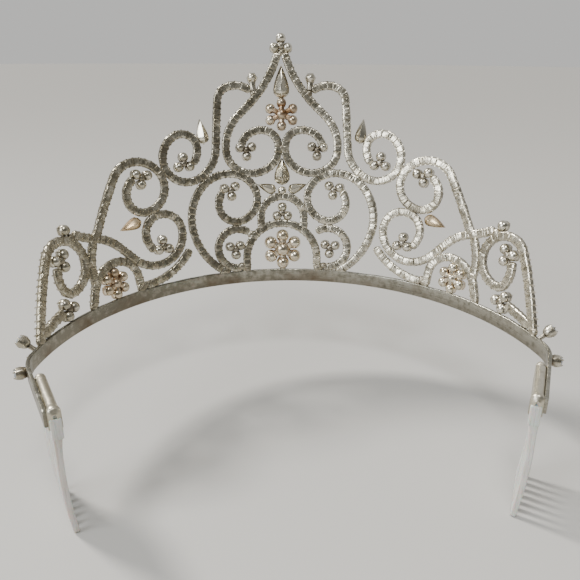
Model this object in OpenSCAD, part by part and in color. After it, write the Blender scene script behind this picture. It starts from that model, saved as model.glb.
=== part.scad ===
// Bridal tiara: a flat metal band, a pierced crest of scrolled stone-set arms that
// leans outwards, and a hair comb held in a folded channel at each end of the band.
// Everything on the crest is placed by two numbers: s, the distance along the band
// from its middle, and z, the height above the band's lower edge. Millimetres, +Z up,
// the front of the tiara faces -Y, and the origin is the middle of the head space.

/* [Band] */
// Radius of the band's inner face
band_r = 61; // [56:0.5:66]
// Height of the band
band_h = 4; // [3.5:0.1:4.5]
// Thickness of the band's strip
band_t = 0.9; // [0.7:0.05:1.2]
// Distance along the band from its middle to where each end bends inwards
bow_s = 89.5; // [86:0.5:92]
// Radius of the bend near each end
bend_r = 11.5; // [8:0.5:16]
// How far each end turns inwards, in degrees
bend_a = 33; // [20:1:36]
// Length of the straight tail at each end
tail_l = 20.5; // [20.5:0.5:26]

/* [Crest] */
// Outward lean of the crest, in degrees
lean = 13; // [8:0.5:16]
// Width of an arm, seen from the front
arm_w = 2.5; // [2.2:0.1:2.8]
// Depth of an arm, front to back
arm_t = 1.7; // [1.4:0.1:2.2]
// Radius of a round setting
bead_r = 1.5; // [1.3:0.05:1.6]
// Distance of each setting from the middle of its cluster
cluster_r = 1.8; // [1.7:0.05:2]
// Depth of a setting's round collar
collar_h = 1.1; // [0.8:0.1:1.4]

/* [Stone row] */
// Number of small cups along the band
cup_n = 61; // [41:2:61]
// Radius of a small cup
cup_r = 1.2; // [1:0.05:1.25]
// Depth of a small cup
cup_h = 1.6; // [1.2:0.1:2]

/* [Combs] */
// Length of the folded channel that holds a comb
channel_l = 17.5; // [17:0.5:19]
// Width of the channel across its fold
channel_w = 2.4; // [2.2:0.1:2.8]
// Height of the channel
channel_h = 4.8; // [4.2:0.1:5.4]
// Number of teeth on a comb
tooth_n = 7; // [5:1:8]
// Length of a tooth
tooth_l = 26; // [24:1:34]
// Radius of the curve that the teeth follow towards the head
tooth_curve = 120; // [90:5:200]
// How far the teeth lean outwards where they leave the channel, in degrees
tooth_tilt = 4.5; // [0:0.5:6]

/* [Hidden] */
$fn = 32;

// Radius of a stone set in a small cup and in a round setting
chip_r = cup_r - 0.25;
gem_r = bead_r - 0.3;
// Height of a stone above its setting
gem_h = 0.55;
// Spacing of the rings that an arm is swept through, and the most that one may turn
ring_step = 2.6;
ring_turn = 24;
// Spacing of the points along the band's outline
band_step = 1.5;
// Sides of an arm and of a comb's tooth
arm_sides = 8;
tooth_sides = 8;
// Half the angle that the band's main arc covers
bow_a = bow_s / band_r * 180 / PI;
// Comb: plastic spine, gap round it in the channel, tooth width, thickness and rings
spine_t = 1.2;
spine_gap = 0.1;
tooth_w = 1.5;
tooth_t = 1.5;
tooth_rings = 10;
// Distance of the channel from the start of the tail, and how far it hangs below
channel_at = 4;
channel_drop = 0.8;
// The wall of the folded channel
fold_t = (channel_w - spine_t) / 2 - spine_gap;

silver = "#b9b4a6";
bright = "#d2cec2";
stone = "#dfe8ee";
plastic = "#d8d9cf";

// Each arm is a start point [s, z], a heading in degrees from the direction of growing s,
// and a chain of [radius, turn]. A positive turn bears left, and a radius of 0 is a
// straight run of that length. The arms are drawn for the half of the crest that has
// positive s, and mirrored for the other half.
HEART = [[0.85, 69], -77.5, [[34, 30.5], [0, 3.3], [14.3, -47], [6.9, -89], [7.5, -103], [4.6, -79],
    [5.6, -82]]];
HOOK = [[7.8, 57.8], 47, [[5.5, -56], [4.6, -75], [0, 14.4], [10.5, 55], [6.3, 106], [7.9, 71],
    [3.9, 115], [7.3, 46]]];
UPPER = [[57.8, 20.8], 150, [[8, -28], [0, 14.9], [7.4, 46], [7.4, 97], [7, 86], [4.6, 93],
    [5.8, 67]]];
MIDDLE = [[62.8, 24.4], 215, [[19.4, -16], [0, 2.5], [13.5, 30], [0, 5.7], [9.4, -60], [8.5, -87],
    [5.4, -90], [5.6, -91], [6.6, -35]]];
BRANCH = [[28.7, 12.5], -54, [[18.6, 56]]];
END = [[84.5, 4], 124, [[0, 20.2], [6.8, 40], [6.3, 96], [7.1, 96], [2.6, 72], [7.4, 47]]];
RING = [[18, 4], 30, [[18.3, 53], [16, 48], [10.9, 46], [7.9, 74], [7.2, 81], [5.1, 104], [6, 57]]];
CURL = [[13, 4.9], 0, [[0, 1], [6, 90], [6, 90], [6.5, 36]]];
SIDE_ARCH = [[46, 4], 88, [[0, 3.9], [6, -91], [10.1, -62], [0, 4.3]]];
LINK = [[57.2, 20.8], -56, [[17.2, -40]]];
STALK = [[82.6, 5], 169, [[0, 9.8]]];
CROWN_ARCH = [[11.4, 4], 92, [[0, 3.6], [11, 176], [0, 3.6]]];
TOP_ARCH = [[6.4, 16.5], 90, [[0, 3.6], [6.4, 180], [0, 3.6]]];

// ---- The leaning wall that the crest lies on ----

// Point of the wall at s and z, moved outwards by o
function wall(s, z, o = 0) =
    let (a = s / band_r * 180 / PI, r = band_r + z * tan(lean) + o * cos(lean))
    [r * sin(a), -r * cos(a), z - o * sin(lean)];
// Direction of growing s, of growing height up the wall, and outwards from it
function along(s) = let (a = s / band_r * 180 / PI) [cos(a), sin(a), 0];
function upwards(s) =
    let (a = s / band_r * 180 / PI) [sin(lean) * sin(a), -sin(lean) * cos(a), cos(lean)];
function outwards(s) =
    let (a = s / band_r * 180 / PI) [cos(lean) * sin(a), -cos(lean) * cos(a), -sin(lean)];

// Puts its children on the wall: X along the band, Y up the wall, Z outwards
module on_wall(s, z) {
    p = wall(s, z);
    x = along(s);
    y = upwards(s);
    n = outwards(s);
    multmatrix([
        [x[0], y[0], n[0], p[0]],
        [x[1], y[1], n[1], p[1]],
        [x[2], y[2], n[2], p[2]],
        [0, 0, 0, 1]]) children();
}

// ---- Arc chains ----

// Place after a run [radius, turn] from p, heading h
function run_end(p, h, run) = run[0] == 0
    ? p + run[1] * [cos(h), sin(h)]
    : let (c = p + sign(run[1]) * run[0] * [-sin(h), cos(h)], g = h + run[1])
      c - sign(run[1]) * run[0] * [-sin(g), cos(g)];
function run_turn(run) = run[0] == 0 ? 0 : run[1];
function run_length(run) = run[0] == 0 ? run[1] : run[0] * abs(run[1]) * PI / 180;
function run_steps(run, step) =
    max(1, ceil(run_length(run) / step), ceil(abs(run_turn(run)) / ring_turn));
// First part of a run, as a run of its own
function part_run(run, f) = [run[0], run[1] * f];
// All the [point, heading] stations of a chain, no further apart than step, from run i on
function stations(p, h, runs, step, i = 0) = i == len(runs)
    ? [[p, h]]
    : let (run = runs[i], n = run_steps(run, step))
      concat(
          [for (k = [0 : n - 1]) [run_end(p, h, part_run(run, k / n)), h + run_turn(run) * k / n]],
          stations(run_end(p, h, run), h + run_turn(run), runs, step, i + 1));

// ---- Sweeps ----

// Skin over a list of rings that all have n points, closed at both ends
module skin(rings, n) {
    last = len(rings) - 1;
    sides = [for (i = [0 : last - 1], k = [0 : n - 1])
        let (a = i * n + k, b = i * n + (k + 1) % n)
        each [[a, b + n, b], [a, a + n, b + n]]];
    start = [[for (k = [0 : n - 1]) k]];
    end = [[for (k = [n - 1 : -1 : 0]) last * n + k]];
    polyhedron(points = [for (r = rings) each r], faces = concat(sides, start, end));
}

// Corner k of a section with n sides that is w wide and t deep
function corner(k, n, w, t) =
    let (a = 360 / n * (k + 0.5), m = cos(180 / n)) [w / 2 * cos(a) / m, t / 2 * sin(a) / m];

// Ring of an arm at a station
function arm_ring(station) =
    let (s = station[0][0], z = station[0][1], h = station[1],
        c = wall(s, z), n = outwards(s), side = -sin(h) * along(s) + cos(h) * upwards(s))
    [for (k = [0 : arm_sides - 1])
        let (q = corner(k, arm_sides, arm_w, arm_t)) c + q[0] * side + q[1] * n];

module arm(route) {
    route_stations = stations(route[0], route[1], route[2], ring_step);
    skin([for (station = route_stations) arm_ring(station)], arm_sides);
}

// Draws its children on the wearer's left (+X) for side 1 and mirrored for side -1
module on_side(side) {
    if (side > 0) children();
    else mirror([1, 0, 0]) children();
}

module both_sides() {
    on_side(1) children();
    on_side(-1) children();
}

// ---- Band ----

// The band's plan on the wearer's left: the main arc, the bend and the straight tail
BAND = [[band_r, bow_a], [bend_r, bend_a], [0, tail_l]];
band_stations = stations([0, -band_r], 0, BAND, band_step);

// Edge of the band at the offset o from its inner face, on the side k, 1 or -1
function band_edge(o, k) =
    [for (t = band_stations) [k * (t[0][0] + o * sin(t[1])), t[0][1] - o * cos(t[1])]];
function reversed(list) = [for (i = [len(list) - 1 : -1 : 0]) list[i]];
function rest_of(list) = [for (i = [1 : len(list) - 1]) list[i]];

module band() {
    inner = concat(reversed(band_edge(0, -1)), rest_of(band_edge(0, 1)));
    outer = concat(reversed(band_edge(band_t, -1)), rest_of(band_edge(band_t, 1)));
    color(silver) linear_extrude(height = band_h) polygon(concat(inner, reversed(outer)));
}

// Puts its children at the start of the tail: X outwards, Y along the tail to its end
module on_tail() {
    rotate([0, 0, bow_a - 90]) translate([band_r - bend_r, 0, 0])
        rotate([0, 0, bend_a]) translate([bend_r, 0, 0]) children();
}

// Puts its children on the outer face of the band: Z outwards
module on_band(s, z) {
    rotate([0, 0, s / band_r * 180 / PI]) translate([0, -band_r - band_t, z])
        rotate([90, 0, 0]) children();
}

// The cups stand side by side along the lower half of the band
cup_z = cup_r + 0.15;
cup_pitch = 2 * (bow_s - 2) / (cup_n - 1);

module band_cups() {
    color(bright) for (i = [0 : cup_n - 1])
        on_band((i - (cup_n - 1) / 2) * cup_pitch, cup_z) cylinder(h = cup_h, r = cup_r);
}

module band_stones() {
    color(stone) for (i = [0 : cup_n - 1])
        on_band((i - (cup_n - 1) / 2) * cup_pitch, cup_z)
            translate([0, 0, cup_h]) cylinder(h = gem_h, r1 = chip_r, r2 = chip_r * 0.6);
}

// The row ends in a larger cup on the bend, and a setting on a short stem stands above it
module end_cups() {
    color(bright) both_sides() {
        rotate([0, 0, bow_a - 90]) translate([band_r - bend_r, 0, 0])
            rotate([0, 0, bend_a * 0.7]) translate([bend_r + band_t, 0, cup_z + 0.3])
                rotate([0, 90, 0]) cylinder(h = cup_h + 0.6, r = cup_r + 0.25);
        on_band(bow_s - 2.5, band_h - 0.6) rotate([-35, 0, 0]) {
            cylinder(h = 2.4, r = 0.6);
            translate([0, 0, 3.3]) sphere(r = bead_r);
        }
    }
}

// ---- Combs ----

module channel() {
    on_tail() translate([-channel_w, channel_at, band_h - channel_h + channel_drop / 2])
        difference() {
            union() {
                cube([channel_w, channel_l, channel_h - channel_w / 2]);
                translate([channel_w / 2, 0, channel_h - channel_w / 2])
                    rotate([-90, 0, 0]) cylinder(h = channel_l, r = channel_w / 2);
            }
            translate([fold_t, -1, -1])
                cube([channel_w - 2 * fold_t, channel_l + 2, channel_h - channel_w / 2 + 1]);
        }
}

module channel_left() {
    color(bright) on_side(1) channel();
}

module channel_right() {
    color(bright) on_side(-1) channel();
}

// Ring of a tooth at the fraction f of its length, a little narrower towards its cut end.
// The tooth leans outwards by tooth_tilt at its root and curves inwards from there.
function tooth_ring(f) =
    let (a = f * tooth_l / tooth_curve * 180 / PI - tooth_tilt,
        c = tooth_curve * [cos(a) - cos(tooth_tilt), -sin(a) - sin(tooth_tilt)],
        k = 1 - 0.18 * f * f)
    [for (j = [0 : tooth_sides - 1])
        let (q = corner(j, tooth_sides, tooth_t * k, tooth_w * k))
        [c[0] + q[0] * cos(a), -q[1], c[1] - q[0] * sin(a)]];

module comb() {
    spine_z = band_h - channel_h + channel_drop / 2;
    pitch = (channel_l - 0.8 - tooth_w) / (tooth_n - 1);
    on_tail() translate([-channel_w / 2, channel_at + 0.4, spine_z]) {
        translate([-spine_t / 2, 0, -1.2])
            cube([spine_t, channel_l - 0.8, channel_h - channel_w / 2 + 1]);
        for (i = [0 : tooth_n - 1])
            translate([0, tooth_w / 2 + i * pitch, -1])
                skin([for (j = [0 : tooth_rings]) tooth_ring(j / tooth_rings)], tooth_sides);
    }
}

module comb_left() {
    color(plastic) on_side(1) comb();
}

module comb_right() {
    color(plastic) on_side(-1) comb();
}

// ---- Arms ----

module heart_arm_left() { color(silver) on_side(1) arm(HEART); }
module heart_arm_right() { color(silver) on_side(-1) arm(HEART); }
module hook_arm_left() { color(silver) on_side(1) arm(HOOK); }
module hook_arm_right() { color(silver) on_side(-1) arm(HOOK); }
module upper_scroll_left() { color(silver) on_side(1) arm(UPPER); }
module upper_scroll_right() { color(silver) on_side(-1) arm(UPPER); }
module middle_scroll_left() { color(silver) on_side(1) arm(MIDDLE); }
module middle_scroll_right() { color(silver) on_side(-1) arm(MIDDLE); }
module branch_left() { color(silver) on_side(1) arm(BRANCH); }
module branch_right() { color(silver) on_side(-1) arm(BRANCH); }
module end_scroll_left() { color(silver) on_side(1) arm(END); }
module end_scroll_right() { color(silver) on_side(-1) arm(END); }
module ring_scroll_left() { color(silver) on_side(1) arm(RING); }
module ring_scroll_right() { color(silver) on_side(-1) arm(RING); }
module curl_left() { color(silver) on_side(1) arm(CURL); }
module curl_right() { color(silver) on_side(-1) arm(CURL); }
module side_arch_left() { color(silver) on_side(1) arm(SIDE_ARCH); }
module side_arch_right() { color(silver) on_side(-1) arm(SIDE_ARCH); }
module link_arm_left() { color(silver) on_side(1) arm(LINK); }
module link_arm_right() { color(silver) on_side(-1) arm(LINK); }
module leaf_stalk_left() { color(silver) on_side(1) arm(STALK); }
module leaf_stalk_right() { color(silver) on_side(-1) arm(STALK); }
module crown_arch() { color(silver) arm(CROWN_ARCH); }
module top_arch() { color(silver) arm(TOP_ARCH); }

// ---- Settings ----

// Round setting on the wall: a domed back towards the head and a collar in front
module setting(s, z, r = bead_r) {
    on_wall(s, z) {
        sphere(r = r);
        cylinder(h = collar_h, r = r);
    }
}

// Stone in front of a round setting
module gem(s, z, r = gem_r) {
    on_wall(s, z) translate([0, 0, collar_h]) cylinder(h = gem_h, r1 = r, r2 = r * 0.55);
}

// Places of n settings on a circle of radius r round [s, z], the first at the angle a
function round_places(s, z, r, n, a) =
    [for (k = [0 : n - 1]) [s + r * cos(a + 360 / n * k), z + r * sin(a + 360 / n * k)]];
function trio(s, z, a) = round_places(s, z, cluster_r, 3, a);

// Clusters of three settings: one below two, or one above two
HEART_TRIO = trio(9.7, 40.6, -92);
HOOK_TRIO = trio(27.1, 37.7, 90);
UPPER_TRIO = trio(39.4, 34.9, -78);
MIDDLE_TRIO = trio(36.6, 14.8, 92);
END_TRIO = trio(68.5, 19, -107);
RING_TRIO = trio(14.8, 28.8, -98);
CURL_TRIO = trio(14.6, 10.8, -92);
LEAF_TRIO = trio(70.9, 6.9, 62);
TOP_TRIO = trio(0, 21.4, 90);
APEX = [[0, 73.1], [1.6, 70.4], [-1.6, 70.4]];
TIPS = [[7.3, 61.5], [64.7, 25.9]];
// Petals of the flowers and their middles
DROP_PETALS = round_places(0, 51.1, 3.4, 6, 90);
CENTRE_PETALS = round_places(0, 10.1, 4.2, 6, 90);
SIDE_PETALS = round_places(53.8, 8.1, 3, 6, 36);

module settings(places) {
    for (p = places) setting(p[0], p[1]);
}

module gems(places) {
    for (p = places) gem(p[0], p[1]);
}

module heart_clusters() { color(bright) both_sides() settings(HEART_TRIO); }
module hook_clusters() { color(bright) both_sides() settings(HOOK_TRIO); }
module upper_clusters() { color(bright) both_sides() settings(UPPER_TRIO); }
module middle_clusters() { color(bright) both_sides() settings(MIDDLE_TRIO); }
module end_clusters() { color(bright) both_sides() settings(END_TRIO); }
module ring_clusters() { color(bright) both_sides() settings(RING_TRIO); }
module curl_clusters() { color(bright) both_sides() settings(CURL_TRIO); }
module leaf_clusters() { color(bright) both_sides() settings(LEAF_TRIO); }
module top_cluster() { color(bright) settings(TOP_TRIO); }
module apex_cluster() { color(bright) settings(APEX); }

// Single settings: on a short stem above each hook, and at each middle scroll's outer end
module tip_settings() {
    color(bright) both_sides() {
        settings(TIPS);
        on_wall(TIPS[0][0], TIPS[0][1] - 3.1) rotate([-90, 0, 0]) cylinder(h = 2.4, r = 0.6);
    }
}

module cluster_stones() {
    color(stone) {
        both_sides() {
            for (t = [HEART_TRIO, HOOK_TRIO, UPPER_TRIO, MIDDLE_TRIO]) gems(t);
            for (t = [END_TRIO, RING_TRIO, CURL_TRIO, LEAF_TRIO, TIPS]) gems(t);
        }
        gems(TOP_TRIO);
        gems(APEX);
    }
}

// ---- Drops ----

// Outline of a drop with its round end at the origin and its tip at +X
module drop_outline(r, l) {
    a = acos(r / l);
    circle(r = r);
    polygon([[r * cos(a), r * sin(a)], [l, 0], [r * cos(a), -r * sin(a)], [0, 0]]);
}

// Drop setting with a pointed back: its round end is at [s, z] and its tip at the angle a
module drop(s, z, r, l, a) {
    on_wall(s, z) rotate([0, 0, a]) {
        linear_extrude(height = collar_h) drop_outline(r, l);
        translate([0, 0, -r * 0.8]) cylinder(h = r * 0.8, r1 = r * 0.15, r2 = r);
    }
}

// Flat-topped stone of a drop
module drop_gem(s, z, r, l, a) {
    on_wall(s, z) rotate([0, 0, a]) translate([0, 0, collar_h])
        linear_extrude(height = gem_h) drop_outline(r - 0.4, l - 1);
}

// Drops as [s, z, radius, length to the tip, angle]
PENDANT = [0, 58.3, 2.5, 7.3, 90];
STAR_UP = [0, 32.4, 2.5, 6, 90];
STAR_SIDE = [3.2, 28.7, 1.6, 4.6, 20];
HOOK_DROP = [21.1, 44.8, 1.8, 5.6, 85];
SCROLL_DROP = [43.5, 22.8, 1.7, 5.1, -15];

module drop_of(d) {
    drop(d[0], d[1], d[2], d[3], d[4]);
}

module drop_gem_of(d) {
    drop_gem(d[0], d[1], d[2], d[3], d[4]);
}

module pendant_drop() { color(bright) drop_of(PENDANT); }

module star_drops() {
    color(bright) {
        drop_of(STAR_UP);
        both_sides() drop_of(STAR_SIDE);
        setting(0, 28.2, bead_r * 0.9);
    }
}

module hook_drops() {
    color(bright) both_sides() drop_of(HOOK_DROP);
}

module scroll_drops() {
    color(bright) both_sides() drop_of(SCROLL_DROP);
}

module drop_stones() {
    color(stone) {
        drop_gem_of(PENDANT);
        drop_gem_of(STAR_UP);
        both_sides() for (d = [STAR_SIDE, HOOK_DROP, SCROLL_DROP]) drop_gem_of(d);
    }
}

// ---- Flowers ----

module flower(places, petal_r, middle, middle_r) {
    for (p = places) setting(p[0], p[1], petal_r);
    setting(middle[0], middle[1], middle_r);
}

module drop_flower() {
    color(bright) flower(DROP_PETALS, bead_r, [0, 51.1], bead_r * 1.25);
}

module centre_flower() {
    color(bright) flower(CENTRE_PETALS, 2, [0, 10.1], 2.4);
}

module side_flower_left() {
    color(bright) on_side(1) flower(SIDE_PETALS, bead_r, [53.8, 8.1], bead_r);
}

module side_flower_right() {
    color(bright) on_side(-1) flower(SIDE_PETALS, bead_r, [53.8, 8.1], bead_r);
}

module flower_stones() {
    color(stone) {
        gems(DROP_PETALS);
        gem(0, 51.1);
        for (p = CENTRE_PETALS) gem(p[0], p[1], 1.6);
        gem(0, 10.1, 1.9);
        both_sides() {
            gems(SIDE_PETALS);
            gem(53.8, 8.1);
        }
    }
}

band();
band_cups();
band_stones();
end_cups();
channel_left();
channel_right();
comb_left();
comb_right();
heart_arm_left();
heart_arm_right();
hook_arm_left();
hook_arm_right();
upper_scroll_left();
upper_scroll_right();
middle_scroll_left();
middle_scroll_right();
branch_left();
branch_right();
end_scroll_left();
end_scroll_right();
ring_scroll_left();
ring_scroll_right();
curl_left();
curl_right();
side_arch_left();
side_arch_right();
link_arm_left();
link_arm_right();
leaf_stalk_left();
leaf_stalk_right();
crown_arch();
top_arch();
heart_clusters();
hook_clusters();
upper_clusters();
middle_clusters();
end_clusters();
ring_clusters();
curl_clusters();
leaf_clusters();
top_cluster();
apex_cluster();
tip_settings();
cluster_stones();
pendant_drop();
star_drops();
hook_drops();
scroll_drops();
drop_stones();
drop_flower();
centre_flower();
side_flower_left();
side_flower_right();
flower_stones();
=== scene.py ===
import math

import bpy
import numpy as np
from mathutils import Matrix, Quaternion, Vector


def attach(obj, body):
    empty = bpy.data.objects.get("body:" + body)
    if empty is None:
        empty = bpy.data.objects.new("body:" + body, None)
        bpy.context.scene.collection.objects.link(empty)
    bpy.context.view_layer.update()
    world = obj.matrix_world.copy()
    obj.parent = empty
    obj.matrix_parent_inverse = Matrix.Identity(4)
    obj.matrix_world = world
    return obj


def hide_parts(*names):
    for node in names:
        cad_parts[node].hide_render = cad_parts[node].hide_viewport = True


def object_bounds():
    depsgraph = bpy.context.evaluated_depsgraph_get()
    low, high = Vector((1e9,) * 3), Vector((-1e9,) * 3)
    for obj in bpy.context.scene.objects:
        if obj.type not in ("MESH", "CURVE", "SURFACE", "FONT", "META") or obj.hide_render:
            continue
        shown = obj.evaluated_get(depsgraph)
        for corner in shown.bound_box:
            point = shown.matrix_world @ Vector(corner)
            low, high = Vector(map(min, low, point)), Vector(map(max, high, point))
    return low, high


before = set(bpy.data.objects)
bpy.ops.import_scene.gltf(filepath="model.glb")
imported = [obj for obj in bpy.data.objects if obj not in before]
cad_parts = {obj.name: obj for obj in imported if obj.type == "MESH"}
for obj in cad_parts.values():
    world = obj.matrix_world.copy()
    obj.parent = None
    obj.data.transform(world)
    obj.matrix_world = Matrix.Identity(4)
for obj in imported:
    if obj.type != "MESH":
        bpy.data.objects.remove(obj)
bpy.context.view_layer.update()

# ---- Band ----
# The tiara stands on one strip of flat white metal, 4 mm high, bent to the head and turned
# in at both ends. Its edges are rolled round, and its faces keep the lines it was drawn with.

band_radius, band_height, band_thick, band_corner = 61.0, 4.0, 0.9, 0.24
bow, bend_radius, bend_turn, tail = 89.5, 11.5, math.radians(33), 20.5
band_reach = bow + bend_radius * bend_turn + tail


def band_frame(s, z=0.0):
    """Origins and axes along the band's inner face at the distance s from its middle: an arc
    of band_radius as far as bow, an arc of bend_radius through bend_turn, then a straight
    tail, mirrored for negative s. The axes run along the band, upwards and outwards."""
    t = np.abs(s)
    a = np.minimum(t, bow) / band_radius
    h = a + np.clip(t - bow, 0, bend_radius * bend_turn) / bend_radius
    rest = np.maximum(t - bow - bend_radius * bend_turn, 0)
    x = band_radius * np.sin(a) + bend_radius * (np.sin(h) - np.sin(a)) + rest * np.cos(h)
    y = -band_radius * np.cos(a) - bend_radius * (np.cos(h) - np.cos(a)) + rest * np.sin(h)
    k, flat = np.where(s < 0, -1.0, 1.0), np.zeros_like(t)
    origin = np.stack([k * x, y, flat + z], -1)
    along = np.stack([np.cos(h), k * np.sin(h), flat], -1)
    out = np.stack([k * np.sin(h), -np.cos(h), flat], -1)
    return origin, along, np.stack([flat, flat, flat + 1], -1), out


def outward(points, quads, fans):
    """The same skin with its faces turned outwards: the sum over its triangles of the corners'
    triple product is six times the volume inside, and is negative when they face inwards."""
    p = points[:, :3] - points[0, :3]
    tris = np.concatenate([quads[:, :3], quads[:, [0, 2, 3]], fans])
    volume = np.einsum("ij,ij->", p[tris[:, 0]], np.cross(p[tris[:, 1]], p[tris[:, 2]]))
    return (points, quads, fans) if volume > 0 else (points, quads[:, ::-1], fans[:, ::-1])


def skin(rings, start=None, end=None):
    """Closed skin over rings[i, k] of x, y, z and recess: four-sided faces from each ring to
    the next, and a fan at each end to the ring's mean point, or to the given one."""
    m, n = rings.shape[:2]
    start = rings[0].mean(0) if start is None else start
    end = rings[-1].mean(0) if end is None else end
    points = np.concatenate([rings.reshape(-1, 4), [start], [end]])
    k = np.arange(n)
    a, b = np.arange(m - 1)[:, None] * n + k, np.arange(m - 1)[:, None] * n + (k + 1) % n
    quads = np.stack([a, b, b + n, a + n], -1).reshape(-1, 4)
    last = (m - 1) * n
    fans = np.concatenate([
        np.stack([(k + 1) % n, k, np.full(n, m * n)], -1),
        np.stack([last + k, last + (k + 1) % n, np.full(n, m * n + 1)], -1)])
    return outward(points, quads, fans)


def joined(*skins):
    """Skins put together: each one's face numbers move up by the points before it."""
    before = np.cumsum([0] + [len(s[0]) for s in skins[:-1]])
    return (np.concatenate([s[0] for s in skins]),
            np.concatenate([s[1] + n for s, n in zip(skins, before)]),
            np.concatenate([s[2] + n for s, n in zip(skins, before)]))


def copies(one, origin, x, y, z):
    """A skin once at each place: (a, b, c) goes to origin + a x + b y + c z, and the faces are
    turned round where x, y and z are left-handed."""
    points, quads, fans = one
    n, count = len(points), len(origin)
    p = (origin[:, None] + points[:, 0:1] * x[:, None] + points[:, 1:2] * y[:, None]
         + points[:, 2:3] * z[:, None])
    p = np.concatenate([p, np.broadcast_to(points[:, 3:], (count, n, 1))], -1).reshape(-1, 4)
    left = (np.einsum("ij,ij->i", np.cross(x, y), z) < 0)[:, None, None]
    up = (np.arange(count) * n)[:, None, None]
    return (p, (np.where(left, quads[:, ::-1], quads) + up).reshape(-1, 4),
            (np.where(left, fans[:, ::-1], fans) + up).reshape(-1, 3))


def piece(name, shape, finish, slot, *nodes, crease=40):
    """Makes the object: points from millimetres to metres, the recess as an attribute, and
    smooth shading except at edges sharper than crease degrees."""
    points, quads, fans = shape
    mesh = bpy.data.meshes.new(name)
    mesh.from_pydata((points[:, :3] * 0.001).tolist(), [], quads.tolist() + fans.tolist())
    mesh.attributes.new("recess_and_shade", "FLOAT", "POINT").data.foreach_set(
        "value", points[:, 3].astype(np.float32))
    mesh.shade_smooth()
    mesh.set_sharp_from_angle(angle=math.radians(crease))
    mesh.materials.append(finish)
    made = bpy.data.objects.new(name, mesh)
    bpy.context.scene.collection.objects.link(made)
    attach(made, "root")
    if nodes:
        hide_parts(*nodes)
    return made


def wired(tree, kind, inputs, **settings):
    """Adds a shader node. Each input gets a value, or a link where it is another's output."""
    made = tree.nodes.new(kind)
    for key, value in settings.items():
        setattr(made, key, value)
    for key, value in inputs.items():
        if isinstance(value, bpy.types.NodeSocket):
            tree.links.new(value, made.inputs[key])
        else:
            made.inputs[key].default_value = value
    return made


def ramp(tree, value, low, high, to_low=0.0, to_high=1.0):
    """The value mapped in a straight line from low..high to to_low..to_high, and held there."""
    return wired(tree, "ShaderNodeMapRange", {
        "Value": value, "From Min": low, "From Max": high,
        "To Min": to_low, "To Max": to_high}).outputs[0]


def mixed(tree, share, one, other):
    """Colour that goes from one to the other as share goes from 0 to 1."""
    return wired(tree, "ShaderNodeMixRGB", {
        "Fac": share, "Color1": one, "Color2": other}).outputs[0]


def aged_metal(name, bright, grey, stain_and_shade, stained, rough, grain, relief, drawn=(1, 1, 1)):
    """White metal that has aged: its tone drifts between bright and grey, and painted shade
    makes it greyer on the left half. The dark colour gathers in patches, in hollows that the
    polishing cloth misses, and as painted shade where a piece's attribute marks it; the stained
    places are rougher, and a cast grain covers it. drawn squeezes the grain into lines."""
    material = bpy.data.materials.new(name)
    material.use_nodes = True
    tree = material.node_tree
    shader = tree.nodes["Principled BSDF"]
    place = wired(tree, "ShaderNodeTexCoord", {}).outputs["Object"]
    lines = wired(tree, "ShaderNodeMapping", {"Vector": place, "Scale": drawn}).outputs[0]
    fine = wired(tree, "ShaderNodeTexNoise", {
        "Vector": lines, "Scale": grain, "Detail": 4.0, "Roughness": 0.65}).outputs[0]
    lumps = wired(tree, "ShaderNodeTexNoise", {
        "Vector": place, "Scale": 600.0, "Detail": 3.0, "Roughness": 0.6}).outputs[0]
    patch = wired(tree, "ShaderNodeTexNoise", {
        "Vector": place, "Scale": 90.0, "Detail": 3.0, "Roughness": 0.6}).outputs[0]
    recess_and_shade = wired(tree, "ShaderNodeAttribute", {}, attribute_name="recess_and_shade").outputs["Fac"]
    # Painted shade: a gradient across X is added to the random patina noise, which pushes the left
    # half towards grey.
    across = wired(tree, "ShaderNodeSeparateXYZ", {"Vector": place}).outputs["X"]
    side = ramp(tree, across, -0.03, 0.06, 0.08, -0.12)
    tarnish_and_side_shade = wired(tree, "ShaderNodeMath", {0: lumps, 1: side}).outputs[0]
    tone = mixed(tree, ramp(tree, tarnish_and_side_shade, 0.38, 0.62), grey, bright)
    tone = mixed(tree, ramp(tree, fine, 0.36, 0.52, 0.4, 0.0), tone, grey)
    patches = ramp(tree, patch, 0.5, 0.72, 0.0, stained)
    # The dark colour's share: random stains in patches, patina in hollows, and painted shade where
    # a piece marks it in its attribute.
    stain_and_shade_share = wired(tree, "ShaderNodeMath", {0: recess_and_shade, 1: patches}, operation="ADD").outputs[0]
    broken = ramp(tree, lumps, 0.3, 0.7, 0.7, 1.3)
    stain_and_shade_share = wired(tree, "ShaderNodeMath", {0: stain_and_shade_share, 1: broken}, operation="MULTIPLY",
                   use_clamp=True).outputs[0]
    tree.links.new(mixed(tree, stain_and_shade_share, tone, stain_and_shade), shader.inputs["Base Color"])
    worn = ramp(tree, fine, 0.3, 0.7, rough - 0.06, rough + 0.1)
    dull = ramp(tree, stain_and_shade_share, 0.0, 1.0, 0.0, 0.2)
    tree.links.new(wired(tree, "ShaderNodeMath", {0: worn, 1: dull}).outputs[0],
                   shader.inputs["Roughness"])
    shader.inputs["Metallic"].default_value = 1.0
    height = wired(tree, "ShaderNodeMath", {0: fine, 1: lumps}).outputs[0]
    tree.links.new(wired(tree, "ShaderNodeBump", {
        "Height": height, "Strength": 1.0, "Distance": relief}).outputs[0],
        shader.inputs["Normal"])
    return material


drawn_metal = aged_metal("drawn_metal", (0.44, 0.425, 0.365, 1), (0.21, 0.20, 0.16, 1),
                         (0.13, 0.09, 0.052, 1), 0.75, 0.26, 900.0, 0.00005, (0.1, 0.1, 3.0))


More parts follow.
